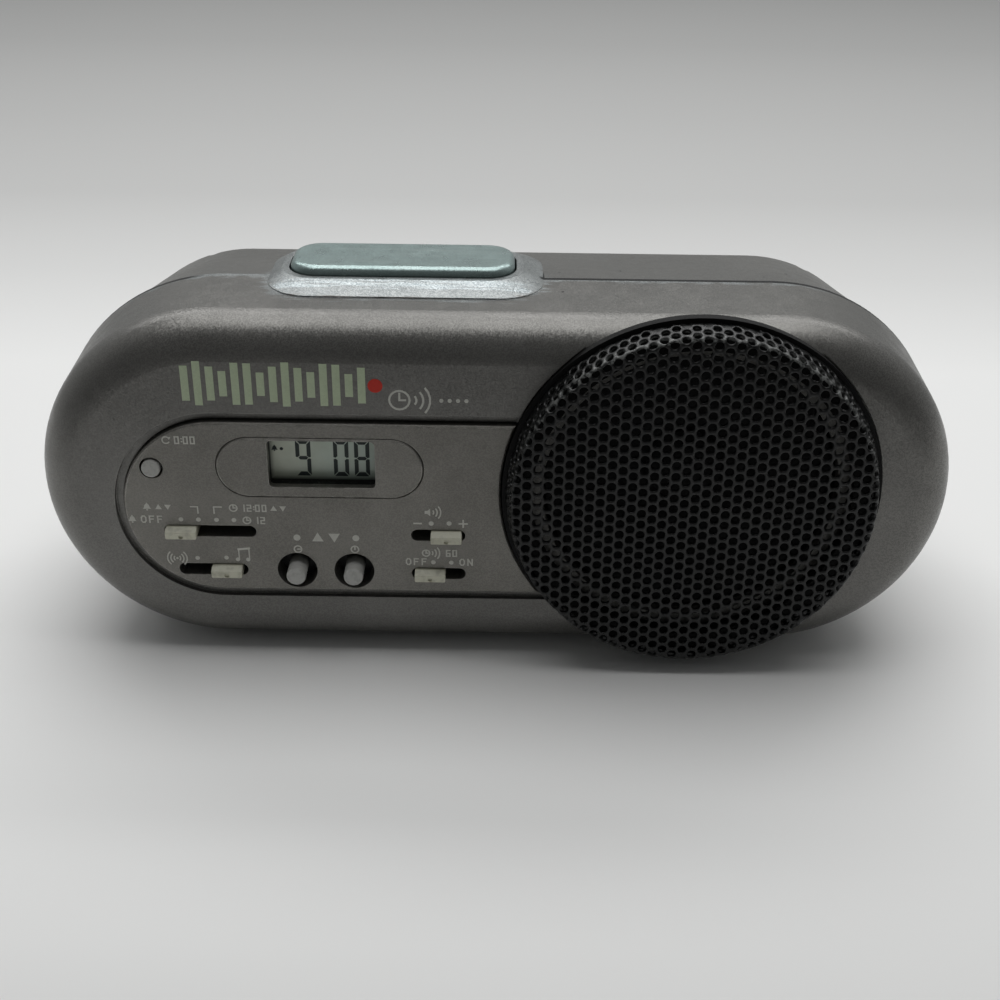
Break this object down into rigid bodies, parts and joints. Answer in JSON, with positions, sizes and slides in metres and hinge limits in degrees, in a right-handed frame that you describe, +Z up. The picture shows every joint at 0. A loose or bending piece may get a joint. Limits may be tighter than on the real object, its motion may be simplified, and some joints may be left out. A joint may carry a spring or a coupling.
{
  "type": "talking clock",
  "caption": "Tabletop talking clock in a long round-ended case, with a small liquid crystal display, slide switches, set buttons, a top talk bar and a round perforated speaker grille.",
  "frame": {"origin": "on the table under the middle of the clock's box", "axes": "+X to the clock's right as seen from the front, along its length; -Y out of the front with the display and grille; +Z up"},
  "size_m": [0.16, 0.0622, 0.0676],
  "materials": {
    "case_paint": "moulded plastic with fine metallic gunmetal paint",
    "panel_paint": "moulded plastic with fine metallic gunmetal paint",
    "bar_paint": "metallic pale teal silver paint, satin",
    "grille_black": "perforated steel, satin black",
    "black_plastic": "moulded black plastic",
    "knob_cream": "moulded cream plastic",
    "button_grey": "moulded light grey plastic",
    "lcd_glass": "reflective liquid crystal display, satin polariser",
    "rubber": "soft black rubber",
    "circuit_board": "green lacquered board",
    "switch_body": "folded steel can",
    "steel": "zinc plated steel",
    "magnet": "dark ferrite, matt",
    "paper": "black pressed paper",
    "cell_can": "plain metal can",
    "component_black": "moulded epoxy",
    "component_can": "drawn can",
    "lead_cover": "plastic covered wire",
    "ribbon": "flat grey ribbon",
    "print_green": "pale green screen print",
    "print_red": "red screen print",
    "print_grey": "pale grey screen print",
    "lcd_segment": "dark display segments"
  },
  "bodies": {
    "case": {"front_case": "case_paint", "rear_case": "case_paint", "control_panel": "panel_paint", "display_bezel": "panel_paint", "lcd_frame": "black_plastic", "lcd_glass": "lcd_glass", "lcd_connectors": "rubber", "control_board": "circuit_board", "main_board": "circuit_board", "panel_screws": "steel", "push_switches": "black_plastic", "switch_domes": "steel", "grille_ring": "black_plastic", "speaker_grille": "grille_black", "speaker_gasket": "rubber", "speaker_frame": "grille_black", "speaker_cone": "paper", "speaker_dust_cap": "paper", "speaker_magnet": "magnet", "speaker_yoke": "steel", "speaker_screws": "steel", "speaker_terminal": "component_black", "speaker_leads": "lead_cover", "battery_leads": "lead_cover", "ribbon_cable": "ribbon", "talk_bracket": "black_plastic", "talk_switch": "switch_body", "talk_bar_springs": "steel", "bracket_screws": "steel", "main_board_screws": "steel", "chips": "component_black", "capacitors": "component_can", "quartz_crystal": "component_can", "battery_cells": "cell_can", "battery_contacts": "steel", "battery_springs": "steel", "case_screws": "steel", "rubber_feet": "rubber", "mode_switch": "black_plastic", "alarm_sound_switch": "black_plastic", "volume_switch": "black_plastic", "report_switch": "black_plastic"},
    "talk_bar": {"talk_bar": "bar_paint"},
    "battery_door": {"battery_door": "case_paint"},
    "mode_slider": {"mode_slider": "knob_cream"},
    "alarm_sound_slider": {"alarm_sound_slider": "knob_cream"},
    "volume_slider": {"volume_slider": "knob_cream"},
    "report_slider": {"report_slider": "knob_cream"},
    "reset_button": {"reset_button": "button_grey"},
    "hour_button": {"hour_button": "button_grey"},
    "minute_button": {"minute_button": "button_grey"}
  },
  "joints": [
    {"name": "talk_bar_press", "type": "slide", "parent": "case", "child": "talk_bar", "axis": [0, 0, -1], "range_m": [0, 0.0015], "stiffness_N_per_m": 250, "springref_m": -0.002, "deforming": ["talk_bar_springs"]},
    {"name": "mode_slide", "type": "slide", "parent": "case", "child": "mode_slider", "axis": [1, 0, 0], "range_m": [0, 0.0094]},
    {"name": "alarm_sound_slide", "type": "slide", "parent": "case", "child": "alarm_sound_slider", "axis": [1, 0, 0], "range_m": [-0.0046, 0]},
    {"name": "volume_slide", "type": "slide", "parent": "case", "child": "volume_slider", "axis": [1, 0, 0], "range_m": [-0.0031, 0]},
    {"name": "report_slide", "type": "slide", "parent": "case", "child": "report_slider", "axis": [1, 0, 0], "range_m": [0, 0.0031]},
    {"name": "reset_press", "type": "slide", "parent": "case", "child": "reset_button", "axis": [0, 1, 0], "range_m": [0, 0.001], "stiffness_N_per_m": 60, "springref_m": -0.001},
    {"name": "hour_press", "type": "slide", "parent": "case", "child": "hour_button", "axis": [0, 1, 0], "range_m": [0, 0.001], "stiffness_N_per_m": 60, "springref_m": -0.001},
    {"name": "minute_press", "type": "slide", "parent": "case", "child": "minute_button", "axis": [0, 1, 0], "range_m": [0, 0.001], "stiffness_N_per_m": 60, "springref_m": -0.001},
    {"name": "battery_door_release", "type": "slide", "parent": "case", "child": "battery_door", "axis": [0, 1, 0], "range_m": [0, 0.02]}
  ]
}
